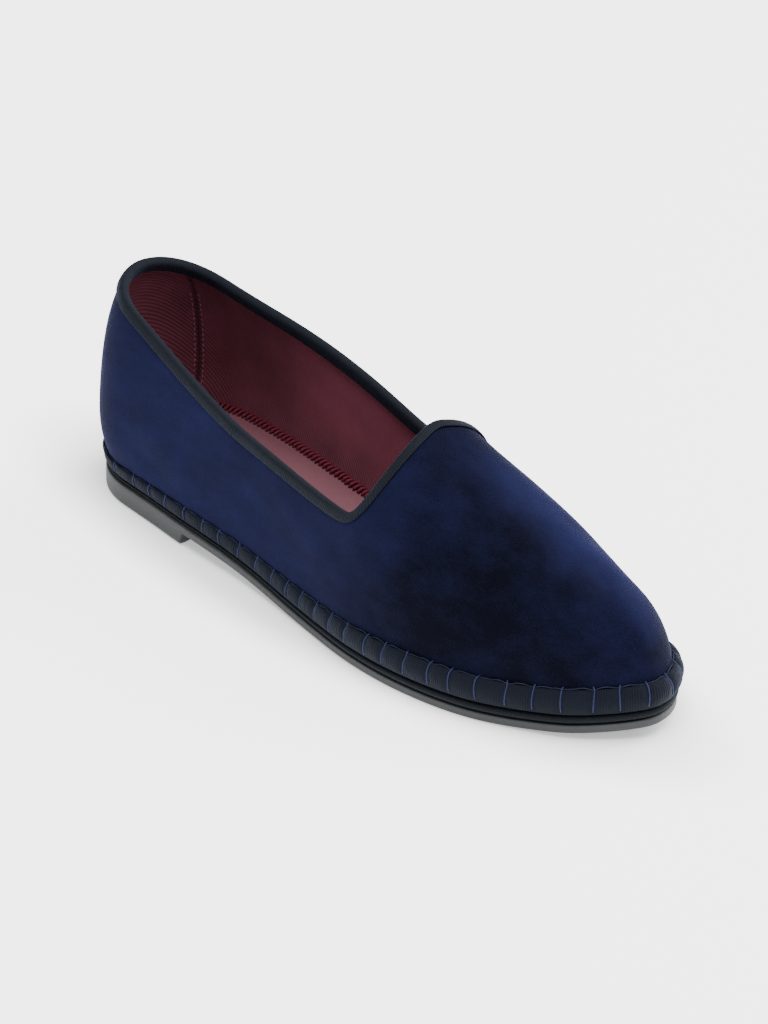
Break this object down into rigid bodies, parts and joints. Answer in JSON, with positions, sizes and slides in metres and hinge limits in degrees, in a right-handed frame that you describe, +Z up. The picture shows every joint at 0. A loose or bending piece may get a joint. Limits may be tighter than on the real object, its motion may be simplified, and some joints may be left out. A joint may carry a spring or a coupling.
{
  "type": "velvet slipper loafer",
  "caption": "Right-foot slip-on with a hollow velvet upper, bound collar, stitched ribbon foxing band and a thin rubber sole with a low moulded heel.",
  "frame": {"origin": "centre of the plan bounding box, on the plane of the floor that the shoe stands on", "axes": "+X to the outer side of the right foot, +Y from heel to toe, +Z up"},
  "size_m": [0.0792, 0.2508, 0.0746],
  "materials": {
    "rubber_sole": "satin dark grey moulded rubber",
    "wrapped_midsole": "black woven ribbon",
    "ribbon_band": "dark navy ribbed ribbon, matt",
    "velvet": "navy cotton velvet, mottled nap with a bright edge",
    "ribbon_binding": "black ribbed ribbon, matt",
    "insole_cloth": "smooth burgundy cloth over a padded footbed"
  },
  "bodies": {
    "root": {"outsole": "rubber_sole", "midsole": "wrapped_midsole", "foxing_band": "ribbon_band", "upper": "velvet", "collar_binding": "ribbon_binding", "insole": "insole_cloth"}
  },
  "joints": []
}
